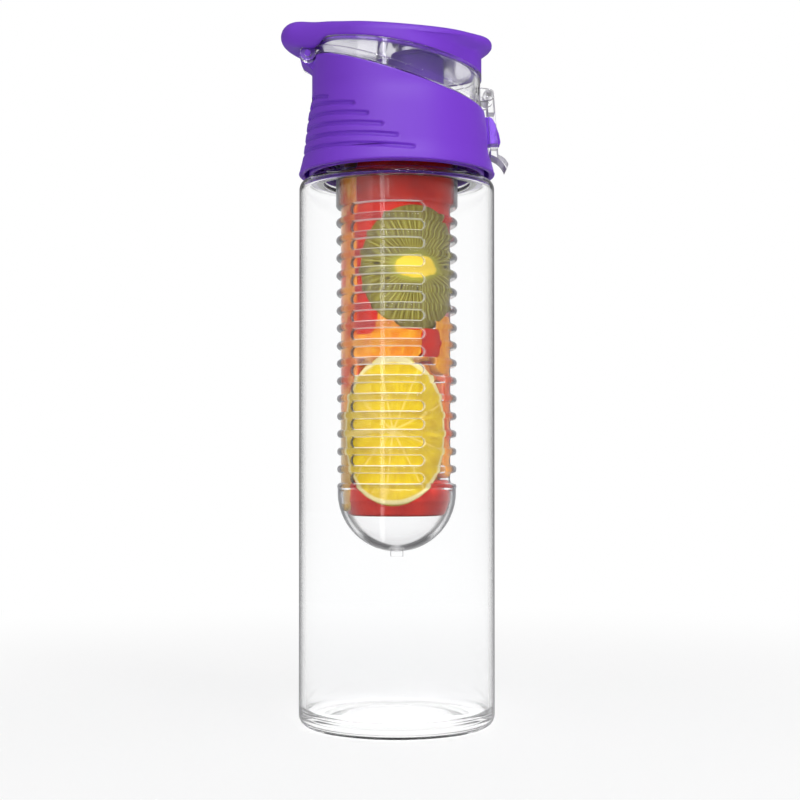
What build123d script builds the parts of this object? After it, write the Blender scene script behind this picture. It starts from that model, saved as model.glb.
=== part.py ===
# A fruit infuser water bottle with a screw lid, a flip cover and a latch.
# +Z is up and the origin is the centre of the foot. The latch faces +X and the hinge faces -X.
import os
from math import acos, asin, atan2, cos, degrees, hypot, pi, radians, sin, sqrt

from build123d import *

# Driving sizes, in millimetres and degrees
# Bottle body
body_diameter = 73.0
body_height = 203.4
body_wall = 2.2
body_floor = 2.6
shoulder_thickness = 2.0
shoulder_round = 3.5
shoulder_inner_round = 2.4
foot_round = 5.0
foot_rise = 2.5
foot_ring_inset = 9.5
foot_dish_slope_width = 7.0
inner_round = 3.0
neck_inset = 7.1
neck_wall = 2.1
neck_height = 18.3

# Infuser basket
band_inset = 4.5
band_lip = 2.0
basket_wall = 1.8
post_inset = 1.8
post_count = 3
first_post_angle = -42.0
slot_angle = 80.0
cage_sides = 24
ring_count = 15
ring_height = 3.0
ring_pitch = 6.57
ring_taper = 0.5
first_ring_drop = 16.0
cup_inset = 0.7
cup_wall_height = 3.5
gate_diameter = 4.8
gate_length = 1.9
flange_inset = 0.2
flange_thickness = 1.8
collar_gap = 1.1
collar_height = 4.9
collar_taper_height = 4.0
infuser_seal_height = 2.4
infuser_seal_gap = 0.1

# Lid base
lid_gap = 0.6
lid_overhang = 0.2
thread_space = 1.8
lid_lip_height = 1.2
lid_flank_inset = 1.5
lid_flank_height = 7.2
lid_waist_inset = 3.6
lid_waist_rise = 0.3
lid_top_inset = 4.9
lid_shoulder_rise = 6.3
lid_wall = 2.2
sleeve_wall = 1.6
skirt_slot_width = 1.7
skirt_slot_depth = 6.0
deck_thickness = 2.4
lid_seal_thickness = 1.8
lid_seal_gap = 0.9
lid_seal_width = 4.6
rim_rise = 10.3
rim_fall = 17.8
rim_curve_radius = 500.0

# Grip grooves, with each groove's reach as a share of the lid's radius
groove_width = 2.0
groove_depth = 0.7
groove_inset = 4.3
groove_pitch = 4.2
groove_drop = 3.1
groove_reach_shares = (0.23, 0.52, 0.67, 0.83, 0.99, 1.17)

# Catch and recess on the lid's front
catch_width = 6.4
catch_height = 11.9
catch_root_reach = 1.2
catch_reach = 5.6
catch_tip_height = 1.0
recess_inset = 3.3
recess_width = 17.0
recess_drop = 4.8

# Spout and vent post
spout_x = 7.2
spout_radius = 10.5
spout_bore = 14.8
spout_rise = 11.2
spout_round = 0.9
spout_spigot_radius = 9.0
spout_fit = 0.1
vent_x = -5.6
vent_radius = 1.9
vent_bore = 1.6
vent_drop = 2.7

# Flip cover
cover_inset = 0.5
cover_wall = 1.8
cover_band = 0.5
cover_foot_band = 2.6
cover_head_band = 1.5
cover_gap = 0.3
cover_plane_drop = 0.6
cover_plane_fall = 10.5

# Cover top
saddle_rise = 5.8
saddle_x = 17.7
saddle_radius = 210.0
crown = 1.0
crown_inset = 2.3
saddle_sweep = 40.0
pocket_rise = 4.0
pocket_fall = 5.4
pocket_roof = 1.6
plan_overhang = 0.3
plan_x = 0.8
nose_half_width = 12.0
nose_reach = 12.3
nose_edge_radius = 5.4
nose_edge_sides = 12
nose_drop = 0.3
lip_reach = 4.4
lip_plan_radius = 20.0
lip_hollow_radius = 6.0
lip_hollow_rise = 1.0
lip_hollow_reach = 0.9
plug_rim_depth = 2.0
plug_rim_wall = 1.8
plug_rim_fit = 0.1

# Spout seal and vent plug
seal_disc_inset = 1.1
seal_disc_thickness = 1.5
seal_plug_gap = 0.6
seal_plug_depth = 3.0
seal_boss_inset = 1.4
vent_plug_inset = 0.2
vent_plug_height = 2.4

# Cover hinge
hinge_reach = 1.7
hinge_rise = 0.29
hinge_lug_radius = 3.0
hinge_lug_width = 4.0
hinge_knuckle_radius = 3.2
hinge_knuckle_width = 12.0
hinge_pin_radius = 1.2
hinge_web_drop = 6.6
hinge_clearance = 0.5
side_clearance = 0.3
pin_fit = 0.05
pin_play = 0.08

# Latch
latch_pivot_reach = 2.8
latch_pivot_drop = 3.6
latch_length = 19.1
latch_knuckle_radius = 2.1
latch_width = 12.0
latch_lug_width = 2.0
latch_lug_rise = 2.8
latch_pin_radius = 0.8
latch_window_width = 7.2
latch_window_height = 13.5
latch_gap = 0.3
latch_bar_height = 2.7
latch_neck_drop = 4.0
latch_neck_inset = 0.2
latch_lean = 1.0
latch_thickness = 2.7
latch_tab_reach = 5.6
latch_tab_drop = 5.2
latch_tab_thickness = 1.7
latch_tab_bend_share = 0.12

# One overrun serves all cuts
overrun = 10.0

# Places worked out from the sizes above
body_radius = body_diameter / 2
neck_radius = body_radius - neck_inset
bore_radius = neck_radius - neck_wall
neck_top = body_height + neck_height
inner_floor = foot_rise + body_floor
band_radius = bore_radius - band_inset
post_radius = band_radius - post_inset
basket_bore = post_radius - basket_wall
slot_height = ring_pitch - ring_height
first_ring_height = body_height - first_ring_drop
band_bottom = first_ring_height + ring_height / 2 + slot_height
last_ring_height = first_ring_height - (ring_count - 1) * ring_pitch
cup_lip = last_ring_height - ring_height / 2 - slot_height
cup_radius = band_radius - cup_inset
cup_centre = cup_lip - cup_wall_height
collar_radius = bore_radius - collar_gap
collar_low = neck_top - collar_height
collar_taper_low = collar_low - collar_taper_height
flange_radius = neck_radius - flange_inset
flange_top = neck_top + flange_thickness
lid_bottom = body_height + lid_gap
lid_bottom_radius = body_radius + lid_overhang
lid_flank_radius = lid_bottom_radius - lid_flank_inset
lid_waist_radius = lid_bottom_radius - lid_waist_inset
lid_top_radius = lid_bottom_radius - lid_top_inset
sleeve_radius = neck_radius + thread_space
lid_seal_radius = sleeve_radius - lid_seal_gap
deck_bottom = flange_top + lid_seal_thickness
deck_top = deck_bottom + deck_thickness
deck_bore = lid_top_radius - lid_wall
skirt_slot_radius = sleeve_radius + sleeve_wall + skirt_slot_width
skirt_slot_high = lid_bottom + skirt_slot_depth
rim_height = deck_top + rim_rise
rim_centre_x = rim_curve_radius * sin(radians(rim_fall))
rim_centre_height = rim_height + rim_curve_radius * cos(radians(rim_fall))
spout_top = rim_height + spout_rise
seal_disc_radius = spout_radius - seal_disc_inset
vent_top = spout_top - vent_drop
cover_radius = lid_top_radius - cover_inset
cover_bore = cover_radius - cover_wall
rim_rear_height = rim_centre_height - sqrt(rim_curve_radius**2 - (cover_radius + rim_centre_x) ** 2)
cover_plane_height = spout_top - cover_plane_drop
hinge_x = -cover_radius - hinge_reach
hinge_height = rim_rear_height + hinge_rise
hinge_span = hinge_knuckle_width + 2 * side_clearance + 2 * hinge_lug_width
latch_x = cover_radius + latch_pivot_reach
latch_pivot_height = rim_height - latch_pivot_drop
latch_span = latch_width + 2 * side_clearance + 2 * latch_lug_width
catch_bottom = latch_pivot_height - latch_length
recess_x = lid_bottom_radius - recess_inset
latch_bar_low = catch_bottom - latch_gap - latch_bar_height
saddle_height = cover_plane_height + saddle_rise
saddle_centre_height = saddle_height + crown + saddle_radius
nose_x = -cover_radius - nose_reach + nose_half_width
nose_height = saddle_centre_height - sqrt(saddle_radius**2 - (saddle_x - nose_x) ** 2)
nose_tilt = degrees(asin((saddle_x - nose_x) / saddle_radius))
lid_ceiling = nose_height + nose_half_width
wide = 3 * body_diameter


def side_face(*edges):
    """A flat face in the XZ plane, from edges drawn as (x, z)."""
    return Plane.XZ * make_face(list(edges))


def side_circle(x, z, radius):
    """A disc in the XZ plane."""
    return Plane.XZ * Pos(x, z) * Circle(radius)


def turned(*edges):
    """A solid turned about the Z axis, from edges drawn as (radius, z)."""
    return revolve(side_face(*edges), Axis.Z)


def across(face, width):
    """A solid of the given width in Y, centred on the XZ plane that holds its face."""
    return extrude(face, amount=width / 2, both=True)


def both_sides(solid, inner_face, width):
    """Two copies of a solid of that width, their inner faces at that distance on each side."""
    offset = inner_face + width / 2
    return Pos(0, offset, 0) * solid + Pos(0, -offset, 0) * solid


def post(radius, low, high, x=0):
    """A round bar along Z."""
    return Pos(x, 0, (low + high) / 2) * Cylinder(radius, high - low)


def ring(outer, inner, low, high):
    """A plain ring about the Z axis."""
    return post(outer, low, high) - post(inner, low - overrun, high + overrun)


def block(low_x, high_x, width, low, high):
    """A box between two places in X and Z, centred in Y."""
    middle = Pos((low_x + high_x) / 2, 0, (low + high) / 2)
    return middle * Box(high_x - low_x, width, high - low)


def bent_line(start, end, share):
    """An arc whose middle lies to the left of its chord by a share of the chord."""
    run, rise = end[0] - start[0], end[1] - start[1]
    middle = ((start[0] + end[0]) / 2 - share * rise, (start[1] + end[1]) / 2 + share * run)
    return ThreePointArc(start, middle, end)


def soft_corner(corner, before, after, radius, steps):
    """Points round a square corner, between the unit directions back and on from it."""
    points = []
    for step in range(steps + 1):
        turn = step / steps * pi / 2
        back, on = radius * (1 - sin(turn)), radius * (1 - cos(turn))
        points.append(tuple(c + back * b + on * a for c, b, a in zip(corner, before, after)))
    return points


def dome(radius, middle, low_radius, steps):
    """Points down a dome's side, from its widest place to where it is that narrow."""
    sweep = acos(low_radius / radius)
    turns = [step / steps * sweep for step in range(steps + 1)]
    return [(radius * cos(turn), middle - radius * sin(turn)) for turn in turns]


def above_rim(gap=0):
    """All that lies above the lid's sloping rim, raised by a gap."""
    return across(side_circle(rim_centre_x, rim_centre_height, rim_curve_radius - gap), wide)


def below_cover_plane(drop=0):
    """All that lies below the sloping plane on which the cover top sits, lowered by a drop."""
    plane = Location((0, 0, cover_plane_height - drop), (0, cover_plane_fall, 0))
    return plane * Pos(0, 0, -wide / 2) * Box(wide, wide, wide)


def bottle_body():
    """The clear body: a dished foot, a straight wall, a flat shoulder and a neck."""
    inside = body_radius - body_wall
    foot_ring_radius = body_radius - foot_ring_inset
    shoulder = body_height - shoulder_thickness
    return turned(
        Polyline(
            (0, foot_rise),
            (foot_ring_radius - foot_dish_slope_width, foot_rise),
            (foot_ring_radius, 0),
            *soft_corner((body_radius, 0), (-1, 0), (0, 1), foot_round, 3),
            *soft_corner((body_radius, body_height), (0, -1), (-1, 0), shoulder_round, 2),
            (neck_radius, body_height),
            (neck_radius, neck_top),
            (bore_radius, neck_top),
            (bore_radius, shoulder),
            *soft_corner((inside, shoulder), (-1, 0), (0, -1), shoulder_inner_round, 1),
            *soft_corner((inside, inner_floor), (0, 1), (-1, 0), inner_round, 2),
            (0, inner_floor),
            close=True,
        )
    )


def cage_bar(radius, low, high):
    """A many-sided bar along Z, plainer than a round one because the cage repeats it so often."""
    return Pos(0, 0, low) * extrude(RegularPolygon(radius, cage_sides), high - low)


def cage_slots():
    """The slots between the rings, in groups between the posts."""
    gap = 360 / post_count - slot_angle
    slots = []
    for index in range(ring_count + 1):
        low = band_bottom - slot_height - index * ring_pitch
        outline = Polyline(
            (basket_bore - overrun, low),
            (band_radius + overrun, low),
            (band_radius + overrun, low + slot_height),
            (basket_bore - overrun, low + slot_height),
            close=True,
        )
        sector = revolve(side_face(outline), Axis.Z, slot_angle)
        for group in range(post_count):
            turn = first_post_angle + gap / 2 + group * 360 / post_count
            slots.append(Rot(0, 0, turn) * sector)
    return slots


def cage():
    """The rings on their posts, each ring a little narrower than the one above."""
    posts = cage_bar(post_radius, cup_lip, band_bottom)
    rings = []
    for index in range(ring_count):
        low = first_ring_height - index * ring_pitch - ring_height / 2
        radius = band_radius - ring_taper * index / (ring_count - 1)
        rings.append(cage_bar(radius, low, low + ring_height))
    return posts + rings - cage_slots() - cage_bar(basket_bore, cup_lip, band_bottom)


def infuser_basket():
    """The clear basket: a flange, a plain band, rings on three posts and a round cup."""
    head = turned(
        Polyline(
            (flange_radius, flange_top),
            (flange_radius, neck_top),
            (collar_radius, neck_top),
            (collar_radius, collar_low),
            (band_radius, collar_taper_low),
            (band_radius, band_bottom),
            (basket_bore, band_bottom),
            (band_radius - basket_wall, band_bottom + band_lip),
            (band_radius - basket_wall, collar_taper_low),
            (collar_radius - basket_wall, collar_low),
            (collar_radius - basket_wall, flange_top),
            close=True,
        )
    )
    gate = gate_diameter / 2
    gate_low = cup_centre - cup_radius - gate_length
    inner_dome = dome(cup_radius - basket_wall, cup_centre, gate, 2)
    cup = turned(
        Polyline(
            (basket_bore, cup_lip),
            (cup_radius, cup_lip),
            *dome(cup_radius, cup_centre, gate, 3),
            (gate, gate_low),
            (0, gate_low),
            (0, inner_dome[-1][1]),
            *inner_dome[::-1],
            (cup_radius - basket_wall, cup_lip - basket_wall),
            (basket_bore, cup_lip - basket_wall),
            close=True,
        )
    )
    return head + cup + cage()


def infuser_seal():
    """The soft ring round the basket's collar, inside the neck."""
    high = neck_top - infuser_seal_gap
    return ring(bore_radius - infuser_seal_gap, collar_radius, high - infuser_seal_height, high)


def lid_seal():
    """The flat ring between the basket's flange and the lid's deck."""
    return ring(lid_seal_radius, lid_seal_radius - lid_seal_width, flange_top, deck_bottom)


def lid_form(inset=0, low=lid_bottom):
    """The lid's outer form up past its rim, drawn in by an inset."""
    foot, flank = lid_bottom_radius - inset, lid_flank_radius - inset
    waist, top = lid_waist_radius - inset, lid_top_radius - inset
    return turned(
        Polyline(
            (0, low),
            (foot, low),
            (foot, lid_bottom + lid_lip_height),
            (flank, lid_bottom + lid_flank_height),
            (waist, deck_top + lid_waist_rise),
            (top, deck_top + lid_shoulder_rise),
            (top, lid_ceiling),
            (0, lid_ceiling),
            close=True,
        )
    )


def grip_grooves():
    """Sloping grooves round the lid's rear, each ending on both of its sides."""
    grooves = []
    for index, share in enumerate(groove_reach_shares):
        rear = (-lid_waist_radius, rim_height - groove_inset - index * groove_pitch)
        reach = share * lid_waist_radius
        length = hypot(reach, groove_drop)
        start = (rear[0] - overrun * reach / length, rear[1] + overrun * groove_drop / length)
        end = (rear[0] + reach, rear[1] - groove_drop)
        middle = ((start[0] + end[0]) / 2, (start[1] + end[1]) / 2)
        slope = degrees(atan2(end[1] - start[1], end[0] - start[0]))
        outline = Rectangle(length + overrun, groove_width)
        grooves.append(across(Plane.XZ * Pos(*middle) * Rot(0, 0, slope) * outline, wide))
    return Compound(grooves) - lid_form(groove_depth, lid_bottom - overrun)


def at_hinge(radius, width):
    """A round bar along the cover's hinge axis."""
    return across(side_circle(hinge_x, hinge_height, radius), width)


def hinge_knuckle():
    """The lid's round knuckle for the hinge pin, on a web from the rear wall."""
    eye = Pos(hinge_x, hinge_height) * Circle(hinge_knuckle_radius)
    high = hinge_height - hinge_knuckle_radius
    root = Line((-deck_bore, hinge_height - hinge_web_drop), (-deck_bore, high))
    web = across(Plane.XZ * make_hull(eye.edges() + root.edges()), hinge_knuckle_width)
    return at_hinge(hinge_knuckle_radius, hinge_knuckle_width) + (web - above_rim())


def catch():
    """The wedge on the lid's front that the latch's bar closes under."""
    root = recess_x - sleeve_wall
    outline = Polyline(
        (root, catch_bottom),
        (recess_x + catch_reach, catch_bottom),
        (recess_x + catch_reach, catch_bottom + catch_tip_height),
        (recess_x + catch_root_reach, catch_bottom + catch_height),
        (root, catch_bottom + catch_height),
        close=True,
    )
    return across(side_face(outline), catch_width)


def lid_base():
    """The opaque lid: a grooved skirt, a sleeve, a deck, a sloping rim, a knuckle and a catch."""
    lid = lid_form() - above_rim() - grip_grooves()
    lid -= ring(skirt_slot_radius, sleeve_radius + sleeve_wall, lid_bottom - overrun, skirt_slot_high)
    lid -= block(recess_x, wide, recess_width, catch_bottom - recess_drop, lid_ceiling)
    lid += hinge_knuckle()
    lid += catch()
    lid -= post(sleeve_radius, lid_bottom - overrun, deck_bottom)
    lid -= post(deck_bore, deck_top, lid_ceiling)
    lug_space = at_hinge(hinge_lug_radius + hinge_clearance, hinge_lug_width + 2 * side_clearance)
    lid -= both_sides(lug_space, hinge_knuckle_width / 2, hinge_lug_width + 2 * side_clearance)
    lid -= at_hinge(hinge_pin_radius + pin_fit, hinge_span)
    lid -= post(spout_spigot_radius + spout_fit, deck_bottom - overrun, lid_ceiling, spout_x)
    lid += post(vent_radius, deck_bottom, vent_top, vent_x)
    return lid - post(vent_bore / 2, deck_bottom - overrun, lid_ceiling, vent_x)


def spout():
    """The drinking spout, a tube whose spigot fits the deck's hole."""
    bore = spout_bore / 2
    outline = Polyline(
        (bore, deck_bottom),
        (spout_spigot_radius, deck_bottom),
        (spout_spigot_radius, deck_top),
        (spout_radius, deck_top),
        *soft_corner((spout_radius, spout_top), (0, -1), (-1, 0), spout_round, 2),
        (bore + spout_round, spout_top),
        (bore, spout_top - spout_round),
        close=True,
    )
    return Pos(spout_x, 0, 0) * turned(outline)


def hinge_pin():
    """The pin through the lid's knuckle and the cover's two lugs."""
    return at_hinge(hinge_pin_radius, hinge_span)


def at_latch(radius, width):
    """A round bar along the latch's hinge axis."""
    return across(side_circle(latch_x, latch_pivot_height, radius), width)


def latch_lugs():
    """The cover's two lugs for the latch's pin."""
    eye = Pos(latch_x, latch_pivot_height) * Rot(0, 0, 180) * Circle(latch_knuckle_radius)
    wall = cover_radius - cover_wall
    low, high = latch_pivot_height - latch_lug_rise, latch_pivot_height + latch_lug_rise
    root = Line((wall, low), (wall, high))
    lug = across(Plane.XZ * make_hull(eye.edges() + root.edges()), latch_lug_width)
    return both_sides(lug, latch_width / 2 + side_clearance, latch_lug_width)


def hinge_lugs():
    """The cover's two round lugs for the hinge pin, joined to the rear of its wall."""
    eye = Pos(hinge_x, hinge_height) * Circle(hinge_lug_radius)
    middle = cover_wall / 2 - sqrt(cover_radius**2 - (hinge_span / 2) ** 2)
    low, high = hinge_height + cover_gap, hinge_height + cover_foot_band
    root = Line((middle, low), (middle, high))
    lug = across(Plane.XZ * make_hull(eye.edges() + root.edges()), hinge_lug_width)
    return both_sides(lug, hinge_knuckle_width / 2 + side_clearance, hinge_lug_width)


def flip_cover():
    """The clear wall of the cover, with a band at its foot and at its head."""
    outer = cover_radius + cover_band
    between = above_rim(cover_gap + cover_foot_band) & below_cover_plane(cover_head_band)
    cover = post(outer, deck_top, lid_ceiling) & above_rim(cover_gap) & below_cover_plane()
    cover -= between - post(cover_radius, deck_bottom, lid_ceiling)
    notch_width = hinge_knuckle_width + 2 * side_clearance
    cover -= at_hinge(hinge_knuckle_radius + hinge_clearance, notch_width)
    cover += hinge_lugs()
    cover += latch_lugs()
    cover -= post(cover_bore, deck_bottom, lid_ceiling)
    cover -= at_hinge(hinge_pin_radius + pin_play, hinge_span + overrun)
    return cover - at_latch(latch_pin_radius + pin_fit, latch_span + overrun)


def cover_plan():
    """The shell's plan: a broad round with a lip in front."""
    broad = Pos(plan_x, 0) * Circle(cover_radius + plan_overhang)
    lip_x = cover_radius + lip_reach - lip_plan_radius
    lip = Pos(lip_x, 0) * Rot(0, 0, 180) * Circle(lip_plan_radius)
    plan = make_hull(broad.edges() + lip.edges())
    return Pos(0, 0, latch_pivot_height) * extrude(plan, lid_ceiling + overrun - latch_pivot_height)


def below_pocket(rise=0):
    """All that lies below the flat roof of the cover top's pocket, raised by a rise."""
    plane = Location((0, 0, cover_plane_height + pocket_rise + rise), (0, pocket_fall, 0))
    return plane * Pos(0, 0, -wide / 2) * Box(wide, wide, wide)


def under_saddle():
    """All that lies under the cover top's saddle: hollow from rear to front, crowned across."""
    crown_half_width = cover_radius - crown_inset
    crown_radius = (crown_half_width**2 + crown**2) / (2 * crown)
    top = saddle_height + crown
    disc = Pos(0, top - crown_radius) * Circle(crown_radius)
    slab = Pos(0, top) * Rectangle(3 * crown_half_width, 2 * body_radius)
    axis = Axis((saddle_x, 0, saddle_centre_height), (0, 1, 0))
    face = Plane(origin=(saddle_x, 0, 0), x_dir=(0, 1, 0), z_dir=(1, 0, 0)) * (disc & slab)
    return revolve(face.rotate(axis, -saddle_sweep / 2), axis, saddle_sweep)


def nose():
    """The thick nose behind the shell, round-edged all the way and clear of the cover's wall."""
    middle = nose_half_width - nose_edge_radius
    turns = [2 * pi * (step + 1 / 2) / nose_edge_sides for step in range(nose_edge_sides // 2)]
    points = [(middle + nose_edge_radius * sin(turn), nose_edge_radius * cos(turn)) for turn in turns]
    high = points[0][1]
    end = turned(Polyline((0, high), *points, (0, -high), close=True))
    other_side = [(-x, z) for x, z in reversed(points)]
    section = Plane.YZ * make_face(Polyline(*points, *other_side, close=True))
    place = Location((nose_x, 0, nose_height), (0, nose_tilt, 0)) * Pos(0, 0, -high - nose_drop)
    wall_space = post(cover_radius + cover_band + cover_gap, lid_bottom, lid_ceiling)
    return place * (end + extrude(section, nose_half_width)) - (wall_space & below_cover_plane())


def lip_hollow():
    """The hollow under the thumb lip, which runs straight down past the front of the wall."""
    middle_x = cover_radius + lip_hollow_reach + lip_hollow_radius
    high = cover_plane_height + lip_hollow_rise
    drop = high - latch_pivot_height
    outline = SlotCenterToCenter(drop, 2 * lip_hollow_radius)
    place = Pos(middle_x, high - drop / 2) * Rot(0, 0, 90)
    return across(Plane.XZ * place * outline, wide)


def cover_top():
    """The opaque top: a crowned shell with a thick nose behind and a thumb lip in front."""
    top = (cover_plan() & under_saddle()) - below_cover_plane() + nose()
    top -= at_hinge(hinge_knuckle_radius + hinge_clearance, wide)
    top -= lip_hollow()
    rim_radius = cover_bore - plug_rim_fit
    pocket_radius = rim_radius - plug_rim_wall
    rim = ring(rim_radius, pocket_radius, deck_top, lid_ceiling) & below_pocket()
    top += rim - below_cover_plane(plug_rim_depth)
    top -= post(pocket_radius, deck_top, lid_ceiling) & below_pocket()
    seal_top = spout_top + seal_disc_thickness
    bosses = post(seal_disc_radius - seal_boss_inset, seal_top, lid_ceiling, spout_x)
    bosses += post(vent_radius, vent_top + vent_plug_height, lid_ceiling, vent_x)
    return top + (bosses & below_pocket(pocket_roof / 2))


def spout_seal():
    """The soft stopper under the cover: a disc on the spout's end and a plug in its bore."""
    disc = post(seal_disc_radius, spout_top, spout_top + seal_disc_thickness, spout_x)
    plug_radius = spout_bore / 2 - seal_plug_gap
    return disc + post(plug_radius, spout_top - seal_plug_depth, spout_top, spout_x)


def vent_plug():
    """The soft plug that closes the vent post."""
    return post(vent_radius - vent_plug_inset, vent_top, vent_top + vent_plug_height, vent_x)


def latch_pin():
    """The pin through the cover's latch lugs and the latch."""
    return at_latch(latch_pin_radius, latch_span)


def latch():
    """The clear latch: a knuckle, a strip with a window, a bar and a thumb tab."""
    low_x, bar_low = latch_x + latch_lean, latch_bar_low
    tip = (low_x + latch_tab_reach, bar_low - latch_tab_drop)
    tip_upper = (tip[0] + latch_tab_thickness / 2, tip[1] + latch_tab_thickness)
    outline = side_face(
        Polyline(
            (low_x, bar_low),
            (latch_x - latch_neck_inset, latch_pivot_height - latch_neck_drop),
            (latch_x, latch_pivot_height),
            (latch_x + latch_knuckle_radius, latch_pivot_height),
            (low_x + latch_thickness, bar_low),
        ),
        bent_line((low_x + latch_thickness, bar_low), tip_upper, latch_tab_bend_share),
        Line(tip_upper, tip),
        bent_line(tip, (low_x, bar_low), -latch_tab_bend_share),
    )
    window_low = catch_bottom - latch_gap
    body = across(outline, latch_width) + at_latch(latch_knuckle_radius, latch_width)
    body -= block(recess_x, wide, latch_window_width, window_low, window_low + latch_window_height)
    return body - at_latch(latch_pin_radius + pin_play, latch_span)


pieces = {
    "bottle_body": bottle_body,
    "infuser_basket": infuser_basket,
    "infuser_seal": infuser_seal,
    "lid_seal": lid_seal,
    "lid_base": lid_base,
    "spout": spout,
    "hinge_pin": hinge_pin,
    "flip_cover": flip_cover,
    "cover_top": cover_top,
    "spout_seal": spout_seal,
    "vent_plug": vent_plug,
    "latch_pin": latch_pin,
    "latch": latch,
}

os.makedirs("parts", exist_ok=True)
for name, make in pieces.items():
    export_step(make(), f"parts/{name}.step")
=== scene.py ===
# A fruit infuser water bottle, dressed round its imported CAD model.
# Metres, +Z up, origin at the centre of the foot. The latch faces +X and the hinge faces -X.
from math import atan2, cos, hypot, pi, radians, sin, sqrt, tan

import bmesh
import bpy
from mathutils import Matrix, Vector, geometry


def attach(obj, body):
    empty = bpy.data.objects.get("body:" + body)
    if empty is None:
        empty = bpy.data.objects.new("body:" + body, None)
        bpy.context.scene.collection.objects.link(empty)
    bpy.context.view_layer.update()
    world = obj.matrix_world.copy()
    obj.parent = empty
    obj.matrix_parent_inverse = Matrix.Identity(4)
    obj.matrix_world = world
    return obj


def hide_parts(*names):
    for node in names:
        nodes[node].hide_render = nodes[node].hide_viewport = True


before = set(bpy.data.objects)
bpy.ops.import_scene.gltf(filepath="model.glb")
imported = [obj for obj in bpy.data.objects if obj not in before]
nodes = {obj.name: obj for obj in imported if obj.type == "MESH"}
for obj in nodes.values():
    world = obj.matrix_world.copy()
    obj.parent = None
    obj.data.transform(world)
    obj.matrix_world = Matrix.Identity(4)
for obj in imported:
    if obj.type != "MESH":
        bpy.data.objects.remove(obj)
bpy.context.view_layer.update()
MM = 0.001

# The studio: a nearly level camera a little above a third of the bottle's height, a pale floor
# that fades to white, a white room and five soft lamps, of which two only make highlights and
# one makes none. None of it is part of the bottle.
scene = bpy.context.scene
scene.view_settings.view_transform = "Standard"
scene.cycles.max_bounces = 32
scene.cycles.transmission_bounces = 28
scene.cycles.transparent_max_bounces = 24

camera_distance = 580 * MM
camera_height = 98.1 * MM
focus_pixels = 1549.0
picture_pixels = 800.0
axis_pixels_left = 3.2
horizon_pixels_down = 62.0
lens = bpy.data.cameras.new("camera")
lens.sensor_width = 36.0
lens.lens = lens.sensor_width * focus_pixels / picture_pixels
lens.shift_x = axis_pixels_left / picture_pixels
lens.shift_y = 0.04
camera = bpy.data.objects.new("camera", lens)
camera.location = (0, -camera_distance, camera_height)
tilt_pixels = horizon_pixels_down - lens.shift_y * picture_pixels
camera.rotation_euler = (pi / 2 + atan2(tilt_pixels, focus_pixels), 0, 0)
scene.collection.objects.link(camera)
scene.camera = camera


class Value:
    """A socket in a material or a tree. A sum with it adds a Math node."""

    def __init__(self, graph, socket):
        self.graph, self.socket = graph, socket

    def maths(self, operation, *given):
        return self.graph.node("ShaderNodeMath", {"operation": operation}, dict(enumerate(given)))

    def __add__(self, other):
        return self.maths("ADD", self, other)

    __radd__ = __add__

    def __sub__(self, other):
        return self.maths("SUBTRACT", self, other)

    def __rsub__(self, other):
        return self.maths("SUBTRACT", other, self)

    def __mul__(self, other):
        return self.maths("MULTIPLY", self, other)

    __rmul__ = __mul__

    def __truediv__(self, other):
        return self.maths("DIVIDE", self, other)

    def __pow__(self, other):
        return self.maths("POWER", self, other)

    def most(self, other):
        return self.maths("MAXIMUM", self, other)

    def unsigned(self):
        return self.maths("ABSOLUTE", self)

    def sine(self):
        return self.maths("SINE", self)

    def bearing(self, across):
        """The angle of a point whose two coordinates are this one and the one given."""
        return self.maths("ARCTAN2", self, across)

    def root(self):
        return self.maths("SQRT", self)

    def rise(self, low, high):
        """0 at low, 1 at high and smooth between them."""
        smooth = {"interpolation_type": "SMOOTHSTEP"}
        return self.graph.node("ShaderNodeMapRange", smooth, {0: self, 1: low, 2: high})

    def part(self, name):
        """Another output of the same node."""
        return Value(self.graph, self.socket.node.outputs[name])


class Graph:
    """A node tree that is built up one node at a time."""

    def __init__(self, tree):
        self.tree = tree
        self.tree.nodes.clear()

    def node(self, kind, settings=None, inputs=None):
        """A node of that type: its settings are made first, then its sockets are set or linked."""
        made = self.tree.nodes.new(kind)
        for name, value in (settings or {}).items():
            setattr(made, name, value)
        for name, value in (inputs or {}).items():
            if isinstance(value, Value):
                self.tree.links.new(value.socket, made.inputs[name])
            else:
                made.inputs[name].default_value = value
        return Value(self, made.outputs[0]) if made.outputs else None


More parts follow.
